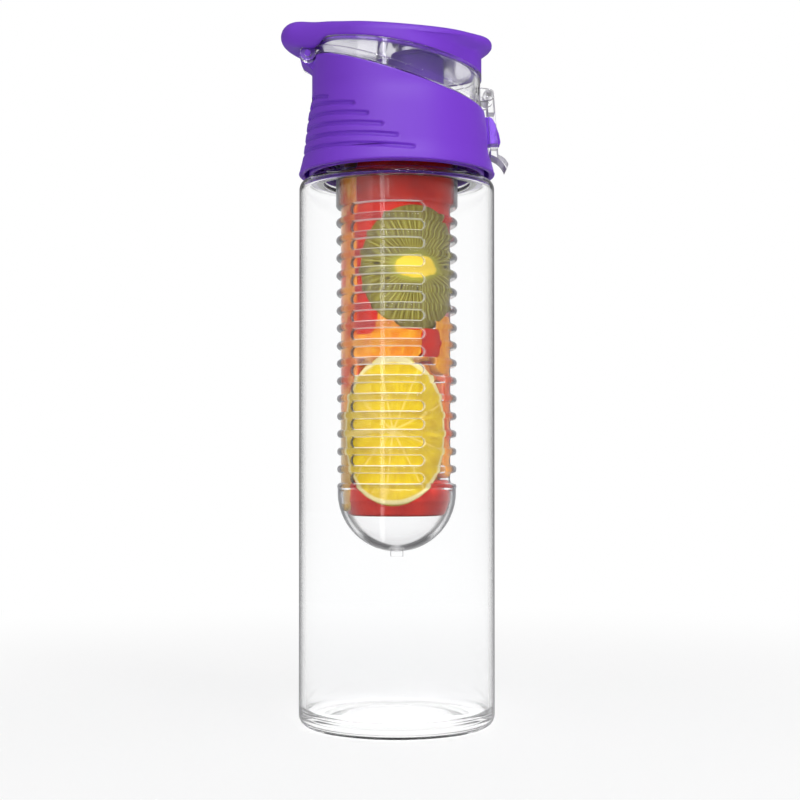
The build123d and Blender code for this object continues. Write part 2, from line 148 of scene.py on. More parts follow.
class Finish(Graph):
    """A material, or a world."""

    def __init__(self, name, home=bpy.data.materials):
        self.made = home.new(name)
        self.made.use_nodes = True
        super().__init__(self.made.node_tree)

    def held(self, name):
        """The three parts of an attribute that the piece's mesh holds."""
        stored = self.node("ShaderNodeAttribute", {"attribute_name": name}).part("Vector")
        x = self.node("ShaderNodeSeparateXYZ", {}, {0: stored})
        return x, x.part("Y"), x.part("Z")

    def point(self, x, y, z=0.0):
        """A point from three numbers or values."""
        return self.node("ShaderNodeCombineXYZ", {}, {0: x, 1: y, 2: z})

    def place(self):
        """A point on the piece, and its three coordinates in metres."""
        point = self.node("ShaderNodeTexCoord").part("Object")
        x = self.node("ShaderNodeSeparateXYZ", {}, {0: point})
        return point, x, x.part("Y"), x.part("Z")

    def mottle(self, point, scale, detail=2.0):
        """Noise from 0 to 1, with about that many patches to the metre."""
        inputs = {"Vector": point, "Scale": scale, "Detail": detail}
        return self.node("ShaderNodeTexNoise", {}, inputs)

    def tint(self, factor, first, second):
        """A colour between two colours."""
        first, second = (c if isinstance(c, Value) else (*c, 1) for c in (first, second))
        mixed = self.node("ShaderNodeMix", {"data_type": "RGBA"}, {0: factor, 6: first, 7: second})
        return Value(self, mixed.socket.node.outputs[2])

    def either(self, factor, first, second):
        """A shader between two shaders."""
        return self.node("ShaderNodeMixShader", {}, {0: factor, 1: first, 2: second})

    def seen(self):
        """1 for a ray from the camera or through something clear, and 1 for a ray off gloss."""
        path = self.node("ShaderNodeLightPath")
        return path.most(path.part("Is Transmission Ray")), path.part("Is Glossy Ray")

    def end(self, surface, output="ShaderNodeOutputMaterial"):
        self.node(output, {}, {"Surface": surface})
        return self.made


room = Finish("white_room", bpy.data.worlds)
room_light, gloss_light = 0.42, 0.24
room_through, room_gloss = room.seen()
room_gloss = room_gloss * (1 - room_through)
room_strength = room_light + room_through * (1 - room_light) - room_gloss * (room_light - gloss_light)
room_glow = room.node("ShaderNodeBackground", {}, {"Color": (1, 1, 1, 1), "Strength": room_strength})
scene.world = room.end(room_glow, "ShaderNodeOutputWorld")

lamps_aim = Vector((0, 0, 0.16))
highlights_only, no_highlights = ("band_lamp", "glint_lamp"), ("right_lamp",)
for name, place, width, height, power in (
    ("left_lamp", (-0.75, -0.85, 0.55), 0.55, 0.9, 3.2),
    ("right_lamp", (0.7, -0.95, 0.55), 0.4, 0.7, 7.6),
    ("top_lamp", (0.1, -0.25, 1.2), 0.6, 0.6, 3.0),
    ("band_lamp", (-0.4, -1.35, 0.2), 0.13, 1.5, 4.6),
    ("glint_lamp", (0.15, -0.9, 1.05), 1.4, 0.12, 16.0),
):
    lamp = bpy.data.lights.new(name, "AREA")
    lamp.shape = "RECTANGLE"
    lamp.size, lamp.size_y, lamp.energy = width, height, power
    lamp_object = bpy.data.objects.new(name, lamp)
    lamp_object.location = place
    lamp_object.rotation_euler = (lamps_aim - Vector(place)).to_track_quat("-Z", "Y").to_euler()
    lamp_object.visible_diffuse = name not in highlights_only
    lamp_object.visible_glossy = lamp_object.visible_transmission = name not in no_highlights
    scene.collection.objects.link(lamp_object)

floor_radius, shadow_radius, white_radius, least_white = 2.5, 0.06, 0.5, 0.72
floor_mesh = bpy.data.meshes.new("floor")
floor_shape = bmesh.new()
bmesh.ops.create_circle(floor_shape, cap_ends=True, radius=floor_radius, segments=96)
floor_shape.to_mesh(floor_mesh)
floor = bpy.data.objects.new("floor", floor_mesh)
scene.collection.objects.link(floor)
paper = Finish("white_paper")
_, paper_x, paper_y, _ = paper.place()
fade = (paper_x * paper_x + paper_y * paper_y).root().rise(shadow_radius, white_radius)
paper_face = paper.node("ShaderNodeBsdfDiffuse", {}, {"Color": (0.86, 0.86, 0.87, 1)})
paper_glow = paper.node("ShaderNodeEmission", {}, {"Color": (1, 1, 1, 1)})
paper_share = paper.seen()[0] * (least_white + fade * (1 - least_white))
floor_mesh.materials.append(paper.end(paper.either(paper_share, paper_face, paper_glow)))


# The clear body: one blow-moulded copolyester piece with a dished foot, an even wall, a flat
# shoulder and a threaded neck. It is turned from its outline, with every corner rounded.
def soft_outline(corners):
    """Points along an outline of (radius, z, rounding) corners in millimetres.

    A long run also gets a point near each of its ends, which keeps its smooth faces flat.
    """
    points = []
    for index, (x, z, rounding) in enumerate(corners):
        if index in (0, len(corners) - 1) or rounding == 0:
            points.append((x, z))
            continue
        here = Vector((x, z))
        back = Vector(corners[index - 1][:2]) - here
        on = Vector(corners[index + 1][:2]) - here
        half = back.angle(on) / 2
        reach = min(rounding / tan(half), 0.49 * back.length, 0.49 * on.length)
        rounding = reach * tan(half)
        middle = here + (back.normalized() + on.normalized()).normalized() * hypot(rounding, reach)
        first_arm = here + back.normalized() * reach - middle
        last_arm = here + on.normalized() * reach - middle
        steps = max(2, round((pi - 2 * half) / radians(12)))
        sweep = first_arm.angle_signed(last_arm)
        for step in range(steps + 1):
            arm = first_arm.copy()
            arm.rotate(Matrix.Rotation(-sweep * step / steps, 2))
            points.append(tuple(middle + arm))
    held, long_run, near_end = [], 1.2, 0.2
    for start, end in zip(points, points[1:]):
        start, end = Vector(start), Vector(end)
        held.append(tuple(start))
        run = end - start
        if run.length > long_run:
            held.append(tuple(start + run.normalized() * near_end))
            held.append(tuple(end - run.normalized() * near_end))
    return held + [points[-1]]


def even_turns(count):
    """That many angles round a circle."""
    return [2 * pi * step / count for step in range(count)]


def polar(radius, angle, z):
    """A place in metres from a radius, an angle and a height in millimetres."""
    return radius * cos(angle) * MM, radius * sin(angle) * MM, z * MM


def skin(shape, rows, wrap=True):
    """Faces between rows of places, and the rows of their points; a row of one place is a pole."""
    made = [[shape.verts.new(place) for place in row] for row in rows]
    for lower, upper in zip(made, made[1:]):
        count = max(len(lower), len(upper))
        for step in range(count if wrap else count - 1):
            following = (step + 1) % count
            corners = []
            for row, index in ((lower, step), (lower, following), (upper, following), (upper, step)):
                corner = row[index % len(row)]
                if corner not in corners:
                    corners.append(corner)
            shape.faces.new(corners)
    return made


def turn_into(shape, outline, turns, middle=0):
    """Faces for a shape, turned from (radius, z) points about an upright line at a place along X."""
    rows = []
    for radius, z in outline:
        places = [polar(radius, turn, z) for turn in (turns if radius else [0])]
        rows.append([(x + middle * MM, y, height) for x, y, height in places])
    skin(shape, rows)


def finished_mesh(shape, weld=1e-6, crease=42):
    """The bmesh as a mesh whose faces point outwards, smooth but for its sharp edges."""
    bmesh.ops.remove_doubles(shape, verts=shape.verts, dist=weld)
    bmesh.ops.recalc_face_normals(shape, faces=shape.faces)
    for face in shape.faces:
        face.smooth = True
    for edge in shape.edges:
        edge.smooth = len(edge.link_faces) == 2 and edge.calc_face_angle() < radians(crease)
    mesh = bpy.data.meshes.new("mesh")
    shape.to_mesh(mesh)
    shape.free()
    return mesh


def turned(outline):
    """A mesh turned about Z from (radius, z) points in millimetres."""
    shape = bmesh.new()
    turn_into(shape, outline, even_turns(160))
    return finished_mesh(shape)


def piece(name, mesh, material, body, slot=None, *stands_for):
    """An object that rides on a body and may stand for CAD nodes."""
    mesh.name = name
    made = bpy.data.objects.new(name, mesh)
    scene.collection.objects.link(made)
    mesh.materials.clear()
    mesh.materials.append(material)
    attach(made, body)
    if stands_for:
        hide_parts(*stands_for)
    return made


def clear_plastic(name, colour, painted_edge_shade, edge_low, edge_high, outside=0.0, shine=0.3, softness=0.0,
                  marks=None):
    """Clear plastic with painted shade where its skin, outside a radius in metres, is seen edge-on.

    The painted shade is a dark finish mixed in between two shares of the way from face-on, 0,
    to edge-on, 1. Softness is the radius of its edges in metres. The marks are an attribute of
    painted light: how much painted shade, painted highlight and faint painted pale wash the basket
    has at a place. Its whole cup counts as skin, because it curves inwards.
    """
    skin_depth, cup_full, cup_start = 0.0004, 0.0868, 0.0875
    dark_share, bright_share, painted_wash_share = 0.8, 0.55, 0.016
    clear = Finish(name)
    _, x, y, z = clear.place()
    sight = {"Blend": 0.5}
    if marks:
        normalize = {"operation": "NORMALIZE"}
        sight["Normal"] = clear.node("ShaderNodeVectorMath", normalize, {0: clear.point(x, y)})
    facing = clear.node("ShaderNodeLayerWeight", {}, sight).part("Facing")
    on_skin = (x * x + y * y).root().rise(outside - skin_depth, outside)
    plain = {
        "Base Color": (*colour, 1), "Roughness": 0.03, "IOR": 1.5, "Transmission Weight": 1.0,
        "Specular Tint": (shine, shine, shine, 1),
    }
    if softness:
        plain["Normal"] = clear.node("ShaderNodeBevel", {"samples": 6}, {"Radius": softness})
    glass = clear.node("ShaderNodeBsdfPrincipled", {}, plain)
    # Painted shade: this dark finish is mixed in where the skin is seen edge-on.
    edge = clear.node("ShaderNodeBsdfPrincipled", {}, {"Base Color": (*painted_edge_shade, 1), "Roughness": 0.3})
    if marks:
        shade, glint, painted_wash = clear.held(marks)
        on_skin = on_skin.most(1 - z.rise(cup_full, cup_start))
        # Painted shade: edge-on darkening, and the dark marks at the slots' left ends.
        dark = (facing.rise(edge_low, edge_high) * on_skin).most(shade * dark_share)
        # Painted highlight and pale wash: a white finish mixed in along the slot edges and faintly all over.
        white = {"Base Color": (0.95, 0.95, 0.95, 1), "Roughness": 0.3}
        pale = clear.node("ShaderNodeBsdfPrincipled", {}, white)
        pale_share = glint * bright_share + painted_wash * painted_wash_share
        solid = clear.either(pale_share, clear.either(dark, glass, edge), pale)
    else:
        solid = clear.either(facing.rise(edge_low, edge_high) * on_skin, glass, edge)
    gap = clear.node("ShaderNodeBsdfTransparent", {}, {"Color": (0.97, 0.97, 0.97, 1)})
    shadow = clear.node("ShaderNodeLightPath").part("Is Shadow Ray")
    return clear.end(clear.either(shadow, solid, gap))


body_radius, body_bore, shoulder_top, shoulder_under, floor_top = 36.5, 34.3, 203.4, 201.4, 5.1
neck_radius, neck_bore, neck_top = 29.4, 27.3, 221.7
body_outline = soft_outline([
    (0, 2.5, 0), (20, 2.5, 6), (27, 0, 2.0), (body_radius, 0, 5.0), (body_radius, shoulder_top, 3.5),
    (neck_radius, shoulder_top, 0.6), (neck_radius, neck_top, 0.5), (neck_bore, neck_top, 0.5),
    (neck_bore, shoulder_under, 0.8), (body_bore, shoulder_under, 2.4), (body_bore, floor_top, 3.0),
    (0, floor_top, 0),
])
body_plastic = clear_plastic(
    "clear_body", (0.996, 0.998, 1.0), (0.16, 0.16, 0.17), 0.6, 0.95, outside=0.0355, shine=0.2
)
piece("bottle_shell", turned(body_outline), body_plastic, "bottle", "clear_plastic", "bottle_body")


def thread(name, material, body, slot, root, crest, low, turns=1.5, pitch=4.5):
    """A ridge wound round the axis from a root radius to a crest radius, thin at both ends."""
    steps, thin_steps, root_half, crest_half = round(turns * 120), 14, 1.1, 0.45
    rows = []
    for step in range(steps + 1):
        turn, middle = 2 * pi * turns * step / steps, low + pitch * turns * step / steps
        full = max(0.05, min(1, step / thin_steps, (steps - step) / thin_steps))
        tip = root + (crest - root) * full
        section = ((root, -root_half), (tip, -crest_half), (tip, crest_half), (root, root_half))
        rows.append([polar(radius, turn, middle + up * full) for radius, up in section])
    first, last = polar(root, 0, low), polar(root, 2 * pi * turns, low + pitch * turns)
    shape = bmesh.new()
    skin(shape, [[first], *rows, [last]])
    piece(name, finished_mesh(shape, crease=50), material, body, slot)


thread("neck_thread", body_plastic, "bottle", "clear_plastic", root=29.42, crest=30.6, low=209.0)


# The basket: one clear moulding with a flange that hangs on the neck, a plain band, fifteen
# rings on three posts with round-ended slots between them, and a round cup with its gate.
class Pattern(Graph):
    """A Geometry Nodes tree with named inputs, run once on a mesh to make a plain mesh."""

    kinds = {int: "NodeSocketInt", float: "NodeSocketFloat"}

    def __init__(self, name, **given):
        super().__init__(bpy.data.node_groups.new(name, "GeometryNodeTree"))
        self.given = given
        sockets = self.tree.interface.new_socket
        sockets("Geometry", in_out="INPUT", socket_type="NodeSocketGeometry")
        for label, value in given.items():
            kind = self.kinds.get(type(value), "NodeSocketMaterial")
            sockets(label, in_out="INPUT", socket_type=kind)
        sockets("Geometry", in_out="OUTPUT", socket_type="NodeSocketGeometry")
        self.start = self.node("NodeGroupInput")

    def grown(self, shape, mesh):
        """The mesh that the tree makes from a mesh, its copies real and its finish set."""
        real = self.node("GeometryNodeRealizeInstances", {}, {0: shape})
        whole = self.node("GeometryNodeMergeByDistance", {}, {0: real, "Distance": 2e-6})
        coated = self.node("GeometryNodeSetMaterial", {}, {0: whole, "Material": self.start.part("Finish")})
        self.node("NodeGroupOutput", {}, {0: coated})
        holder = bpy.data.objects.new("holder", mesh)
        scene.collection.objects.link(holder)
        modifier = holder.modifiers.new("pattern", "NODES")
        modifier.node_group = self.tree
        for item in self.tree.interface.items_tree:
            if item.in_out == "INPUT" and item.name in self.given:
                modifier[item.identifier] = self.given[item.name]
        seen = holder.evaluated_get(bpy.context.evaluated_depsgraph_get())
        made = bpy.data.meshes.new_from_object(seen)
        holder.modifiers.remove(modifier)
        bpy.data.objects.remove(holder)
        return made


band_radius, post_radius, basket_bore, cup_radius = 22.8, 21.0, 19.9, 22.1
slot_rows, slot_pitch, slot_half_height, ring_half_height = 16, 6.57, 1.785, 1.5
first_slot_height, slot_centre_angle = 190.685, radians(-102)
slot_straight, slot_end, sector_half = radians(34.9), radians(5.1), radians(60)
ring_loss, ring_loss_end = 0.5, 0.9
straight_steps, post_steps, end_steps, ring_steps = 24, 8, 12, 6


def slot_cell():
    """One slot, with half of the ring above and below it and half of the post on each side.

    Its marks are painted shade at the slot's left end, a painted highlight along its other edges and a faint
    painted pale wash all over.
    """
    shape = bmesh.new()
    straight = [-slot_straight + 2 * slot_straight * s / straight_steps for s in range(straight_steps + 1)]
    post = [slot_straight + (sector_half - slot_straight) * s / post_steps for s in range(1, post_steps + 1)]
    turns = [-turn for turn in reversed(post)] + straight + post

    def strip(radius, height, across):
        return [polar(radius, slot_centre_angle + turn, first_slot_height + height) for turn in across]

    far = slot_half_height + ring_half_height
    bulge = band_radius - post_radius
    arcs = [pi / 2 * step / ring_steps for step in range(ring_steps + 1)]
    ends = [pi * step / end_steps - pi / 2 for step in range(end_steps + 1)]
    for side in (-1, 1):
        skin(shape, [
            strip(post_radius + bulge * cos(a), side * (far - ring_half_height * sin(a)), turns) for a in arcs
        ], wrap=False)
        edge = side * slot_half_height
        skin(shape, [strip(post_radius, edge, straight), strip(basket_bore, edge, straight)], wrap=False)
        skin(shape, [strip(basket_bore, edge, turns), strip(basket_bore, side * far, turns)], wrap=False)
        windows = []
        for radius in (post_radius, basket_bore):
            rows = []
            for a in ends:
                inner = slot_straight + slot_end * cos(a)
                across = [inner + (sector_half - inner) * s / post_steps for s in range(post_steps + 1)]
                rows.append(strip(radius, slot_half_height * sin(a), [side * turn for turn in across]))
            windows.append(rows)
            skin(shape, rows, wrap=False)
        skin(shape, [[row[0] for row in rows] for rows in windows], wrap=False)
    # The marks are painted light: shade at each slot's left end, a highlight along its other edges and a pale
    # wash all over.
    marks = shape.verts.layers.float_vector.new("marks")
    for vertex in shape.verts:
        turn = atan2(vertex.co.y, vertex.co.x) - slot_centre_angle
        turn = (turn + pi) % (2 * pi) - pi
        height = vertex.co.z / MM - first_slot_height
        apart = hypot(max(0, abs(turn) - slot_straight) * post_radius, height) - slot_half_height
        at_left = turn < radians(1) - slot_straight
        lit = 0 if at_left or abs(apart) > 0.25 else 0.5 if abs(turn) > slot_straight else 1
        vertex[marks] = (at_left and -0.6 < apart < 0.3, lit, 1)
    return finished_mesh(shape), turns


cell, sector_turns = slot_cell()
basket_plastic = clear_plastic(
    "clear_basket", (0.99, 0.99, 0.992), (0.04, 0.04, 0.055), 0.47, 0.78, outside=0.0214, shine=0.25,
    marks="marks",
)
cage = Pattern("cage", Rows=slot_rows, Pitch=slot_pitch * MM, Posts=3, Finish=basket_plastic)
drop = cage.node("ShaderNodeCombineXYZ", {}, {2: cage.start.part("Pitch") * -1.0})
column = cage.node("GeometryNodeMeshLine", {}, {"Count": cage.start.part("Rows"), "Offset": drop})
stack = cage.node("GeometryNodeInstanceOnPoints", {}, {"Points": column, "Instance": cage.start})
centres = cage.node("GeometryNodeMeshLine", {}, {"Count": cage.start.part("Posts"), "Offset": (0, 0, 0)})
sector_turn = cage.node("GeometryNodeInputIndex") * (2 * pi) / cage.start.part("Posts")
spin = cage.node("ShaderNodeCombineXYZ", {}, {2: sector_turn})
sectors = {"Points": centres, "Instance": stack, "Rotation": spin}
cage_mesh = cage.grown(cage.node("GeometryNodeInstanceOnPoints", {}, sectors), cell)

basket = bmesh.new()
basket.from_mesh(cage_mesh)
cage_top = first_slot_height + slot_half_height + ring_half_height
cage_low = cage_top - slot_rows * slot_pitch
for vertex in basket.verts:
    out = hypot(vertex.co.x, vertex.co.y)
    if out > post_radius * MM * 1.001:
        share = min(1, (cage_top * MM - vertex.co.z) / (ring_loss_end * (cage_top - cage_low) * MM))
        lost = ring_loss * MM * share * (out - post_radius * MM) / ((band_radius - post_radius) * MM)
        vertex.co.x *= 1 - lost / out
        vertex.co.y *= 1 - lost / out
all_turns = [
    slot_centre_angle + turn + sector * 2 * sector_half for sector in range(3) for turn in sector_turns[:-1]
]
collar_radius, flange_radius, flange_top, mouth_bore = 26.2, 29.2, 223.5, 24.4
head_outline = soft_outline([
    (band_radius, cage_top, 0), (band_radius, 212.8, 5), (collar_radius, 216.8, 3),
    (collar_radius, neck_top, 0.4), (flange_radius, neck_top, 0.3), (flange_radius, flange_top, 0.7),
    (mouth_bore, flange_top, 0.7), (mouth_bore, 216.8, 3), (21.2, 212.8, 5), (basket_bore, 208.0, 5),
    (basket_bore, cage_top, 0),
])
turn_into(basket, head_outline, all_turns)
cup_middle, cup_wall, gate_radius, gate_length = 86.85, 1.7, 2.4, 1.9
cup_bore, cup_low = cup_radius - cup_wall, cup_middle - cup_radius
falls = [radians(a) for a in range(0, 84, 4)]
outer_cup = [(cup_radius * cos(a), cup_middle - cup_radius * sin(a)) for a in falls]
inner_cup = [(cup_bore * cos(a), cup_middle - cup_bore * sin(a)) for a in falls]
turn_into(basket, [
    (band_radius - ring_loss, cage_low), (cup_radius, cage_low - 0.7), *outer_cup,
    (gate_radius, cup_low + 0.1), (gate_radius, cup_low - gate_length), (0, cup_low - gate_length),
], all_turns)
turn_into(basket, [
    (basket_bore, cage_low), (cup_bore, cage_low - 0.6), *inner_cup, (0, cup_low + cup_wall),
], all_turns)
piece("basket", finished_mesh(basket, 4e-6), basket_plastic, "infuser", "clear_plastic", "infuser_basket")


# Two soft rings: one in a groove of the basket's collar and one between its flange and the lid.
# They are milky silicone with a matt skin, pressed on by hand.
def finish_node(name, material):
    """A CAD node's new finish, set on its object and not on its mesh."""
    for place in nodes[name].material_slots:
        place.link = "OBJECT"
        place.material = material


silicone = Finish("milky_silicone")
silicone_point, _, _, _ = silicone.place()
silicone_grain = silicone.mottle(silicone_point, 700)
silicone_relief = {"Strength": 0.1, "Distance": 0.0002, "Height": silicone_grain}
silicone_bump = silicone.node("ShaderNodeBump", {}, silicone_relief)
silicone_colour = silicone.tint(silicone.mottle(silicone_point, 60), (0.78, 0.8, 0.81), (0.7, 0.73, 0.75))
silicone_face = silicone.node("ShaderNodeBsdfPrincipled", {}, {
    "Base Color": silicone_colour, "Roughness": 0.4 + silicone_grain * 0.15, "Normal": silicone_bump,
})
milky = silicone.end(silicone_face)
finish_node("infuser_seal", milky)
finish_node("lid_seal", milky)


# The fruit in the basket: slices bent against its bore, a melon piece above and below, and
# chunks behind them. Each is a closed piece with its skin, flesh and pith in its own finish.
def bent_piece(name, material, angle, height, half_arc, half_height, thickness, radius, power=2.0):
    """A slice bent on the bore, its outline from an ellipse to a soft-cornered rectangle.

    Its mesh holds how far along, how far up and how deep each of its points is, in millimetres.
    """
    around, rings = 72, 12

    def row(share, face):
        """Points at a share of the way out to the rim, on the outer face, 1, or the inner, -1."""
        made = []
        for step in range(around if share else 1):
            a = 2 * pi * step / around
            c, s = cos(a), sin(a)
            reach = share / (abs(c) ** power + abs(s) ** power) ** (1 / power)
            depth = thickness / 2 * (1 - face * (1 - share**80) ** 0.5)
            made.append((half_arc * reach * c, half_height * reach * s, depth))
        return made

    shares = [step / rings for step in range(rings)] + [0.95, 0.97, 0.985, 0.995, 1.0]
    rows = [row(share, 1) for share in shares] + [row(share, -1) for share in reversed(shares[:-1])]
    shape = bmesh.new()
    stored = shape.verts.layers.float_vector.new("slice")
    turn = radians(angle - 90)
    points = skin(shape, [
        [polar(radius - depth, turn + along / radius, height + up) for along, up, depth in line]
        for line in rows
    ])
    for line, marks in zip(points, rows):
        for vertex, mark in zip(line, marks):
            vertex[stored] = mark
    piece(name, finished_mesh(shape), material, "infuser")


def wet_face(finish, colour, bump):
    """Moist flesh: coloured, a little glossy, and bumped."""
    skin_bump = finish.node("ShaderNodeBump", {}, {"Strength": 0.3, "Distance": 0.0004, "Height": bump})
    return finish.end(finish.node("ShaderNodeBsdfPrincipled", {}, {
        "Base Color": colour, "Roughness": 0.28, "Normal": skin_bump, "Specular IOR Level": 0.12,
    }))


def kiwi_flesh(name, half_arc, half_height):
    """Green flesh with pale rays, dark seeds round a yellow core, and a thin brown skin."""
    deep_green, green, ray_green = (0.095, 0.07, 0.009), (0.15, 0.12, 0.016), (0.42, 0.4, 0.1)
    core_rim = (0.26, 0.25, 0.035)
    seed_brown, core_yellow, skin_brown = (0.03, 0.02, 0.015), (0.66, 0.48, 0.045), (0.1, 0.075, 0.02)
    kiwi = Finish(name)
    u, v, _ = kiwi.held("slice")
    core_arc, core_height = 0.38 * half_arc, 0.2 * half_height
    core = ((u / core_arc) ** 2.0 + (v / core_height) ** 2.0).root()
    out = ((u / half_arc) ** 2.0 + (v / half_height) ** 2.0).root()
    bearing = v.bearing(u)
    wobble = kiwi.mottle(kiwi.point(u * 0.12, v * 0.12, 3.0), 1.0, 2)
    rays = ((bearing * 54 + wobble * 5).sine() * 0.5 + 0.5) ** 4.0
    fine = ((bearing * 89 + wobble * 8).sine() * 0.5 + 0.5) ** 3.0
    patch = kiwi.mottle(kiwi.point(u * 0.2, v * 0.2, 7.0), 1.0, 3)
    flesh = kiwi.tint(patch.rise(0.3, 0.7), deep_green, green)
    flesh = kiwi.tint((rays * 0.5 + fine * 0.3) * (1 - out.rise(0.7, 1.0) * 0.7), flesh, ray_green)
    flesh = kiwi.tint(1 - core.rise(1.0, 1.4), flesh, core_rim)
    seed_spot = kiwi.point(bearing * 5.0, core * 1.3, 0.0)
    seed = kiwi.node("ShaderNodeTexVoronoi", {}, {"Vector": seed_spot, "Scale": 1.0, "Randomness": 0.6})
    seeds = (1 - seed.part("Distance").rise(0.16, 0.24)) * core.rise(1.35, 1.5) * (1 - core.rise(2.1, 2.3))
    flesh = kiwi.tint(seeds * 0.8, flesh, seed_brown)
    edge = kiwi.mottle(kiwi.point(u * 0.5, v * 0.5, 1.0), 1.0, 3) * 0.2
    flesh = kiwi.tint(1 - (core + edge).rise(0.95, 1.12), flesh, core_yellow)
    flesh = kiwi.tint(out.rise(0.95, 0.985), flesh, skin_brown)
    return wet_face(kiwi, flesh, patch)


def citrus_flesh(name, half_arc, half_height, flesh_colour, deep_colour, zest_colour, segments, shift=0.0):
    """Juicy segments between pale walls, white pith and a thin coloured zest."""
    segment_wall, pith = (0.66, 0.5, 0.14), (0.62, 0.54, 0.27)
    fruit = Finish(name)
    u, v, _ = fruit.held("slice")
    across, up = u / half_arc, v / half_height
    out = (across * across + up * up).root()
    bearing = up.bearing(across) + shift
    from_wall = (bearing * (segments / 2)).sine().unsigned() * out * (half_height * 2 / segments)
    sacs = fruit.mottle(fruit.point(bearing * 9.0, out * 3.2, 0.0), 1.6, 3)
    grains = fruit.mottle(fruit.point(u * 0.25, v * 0.25, 2.0), 1.0, 4)
    flesh = fruit.tint((sacs * 0.6 + grains * 0.4).rise(0.3, 0.7), deep_colour, flesh_colour)
    flesh = fruit.tint((1 - from_wall.rise(0.1, 0.6)) * 0.6, flesh, segment_wall)
    flesh = fruit.tint(1 - out.rise(0.03, 0.08), flesh, segment_wall)
    rough_edge = out + (grains - 0.5) * 0.03
    flesh = fruit.tint(rough_edge.rise(0.9, 0.93), flesh, pith)
    flesh = fruit.tint(rough_edge.rise(0.965, 0.98), flesh, zest_colour)
    return wet_face(fruit, flesh, sacs)


def soft_flesh(name, first, second, streak, streak_share, scale=170):
    """Plain juicy flesh: two close colours in soft patches and a third in streaks."""
    fruit = Finish(name)
    point, x, y, z = fruit.place()
    patch = fruit.mottle(point, scale, 3)
    lines = fruit.mottle(fruit.point(x, y, z * 0.35), scale * 3.2, 3)
    colour = fruit.tint(patch.rise(0.35, 0.65), first, second)
    colour = fruit.tint(lines.rise(0.52, 0.72) * streak_share, colour, streak)
    return wet_face(fruit, colour, patch + lines)


melon = soft_flesh("melon_flesh", (0.46, 0.017, 0.008), (0.35, 0.01, 0.006), (0.5, 0.045, 0.025), 0.3)
orange = soft_flesh("orange_flesh", (0.6, 0.24, 0.014), (0.52, 0.15, 0.01), (0.66, 0.38, 0.05), 0.6, 230)
peach = soft_flesh("peach_flesh", (0.7, 0.29, 0.03), (0.55, 0.07, 0.012), (0.74, 0.46, 0.12), 0.5, 90)
rind = soft_flesh("melon_rind", (0.46, 0.24, 0.035), (0.52, 0.34, 0.08), (0.55, 0.45, 0.22), 0.5)
kiwi_size, back_kiwi_size, lemon_size, orange_size = (22.0, 22.9), (20.0, 19.0), (22.4, 27.4), (20.0, 20.0)
kiwi_front = kiwi_flesh("kiwi_front", *kiwi_size)
lemon = citrus_flesh(
    "lemon_front", *lemon_size, (0.6, 0.44, 0.018), (0.46, 0.3, 0.01), (0.48, 0.38, 0.03), 9, 0.3
)
orange_slice = citrus_flesh(
    "orange_slice", *orange_size, (0.7, 0.22, 0.013), (0.6, 0.12, 0.01), (0.7, 0.18, 0.01), 10
)
kiwi_back = kiwi_flesh("kiwi_back", *back_kiwi_size)

# For each slice: its finish, its degrees from the front, its height, half of its width round the
# bore, half of its height, its thickness, its outer radius and how square its corners are.
against, beneath = 20.25, 20.02
for slice_name, flesh, *sizes in (
    ("melon_above", melon, 24, 196.0, 24.5, 16.0, 9, beneath, 6),
    ("melon_left", melon, -38, 168.0, 7.0, 25.0, 6, beneath - 0.01, 5),
    ("kiwi_slice", kiwi_front, 20, 169.2, *kiwi_size, 5, against),
    ("orange_front", orange, -12, 148.0, 15.5, 13.5, 8, beneath - 0.02, 4),
    ("melon_chip", melon, 38, 141.5, 4.6, 6.0, 5, beneath + 0.01, 3),
    ("melon_chip_low", melon, 18, 150.0, 4.8, 4.2, 5, beneath + 0.01, 3),
    ("orange_right", orange, 66, 141.0, 8.5, 11.0, 6, beneath, 4),
    ("melon_right", melon, 88, 151.0, 6.0, 5.0, 6, beneath - 0.01, 4),
    ("lemon_slice", lemon, -4, 109.4, *lemon_size, 6, against),
    ("peach_left", peach, -66, 160.0, 7.5, 47.0, 7, beneath, 6),
    ("rind_left", rind, -92, 165.0, 6.0, 46.0, 6, beneath - 0.01, 6),
    ("peach_right", peach, 80, 112.0, 9.0, 20.0, 6, beneath, 6),
    ("rind_low", rind, -78, 104.0, 9.0, 24.0, 6, beneath - 0.02, 6),
    ("orange_back", orange_slice, 175, 172.0, *orange_size, 6, beneath),
    ("kiwi_slice_back", kiwi_back, 150, 122.0, *back_kiwi_size, 5, against),
    ("lemon_slice_back", lemon, 235, 128.0, *lemon_size, 6, beneath),
    ("melon_back", melon, 215, 196.0, 20.0, 14.0, 8, beneath, 5),
):
    bent_piece(slice_name, flesh, *sizes)

foot_outline = soft_outline([
    (0, 78.5, 0), (18.0, 78.5, 1.5), (19.95, 84.0, 2.0), (19.95, 91.5, 1.6), (0, 91.5, 0),
])
piece("melon_below", turned(foot_outline), melon, "infuser")
heart_outline = soft_outline([(0, 90.0, 0), (16.6, 90.0, 3), (16.6, 206.0, 4), (0, 206.0, 0)])
piece("fruit_chunks", turned(heart_outline), orange, "infuser")


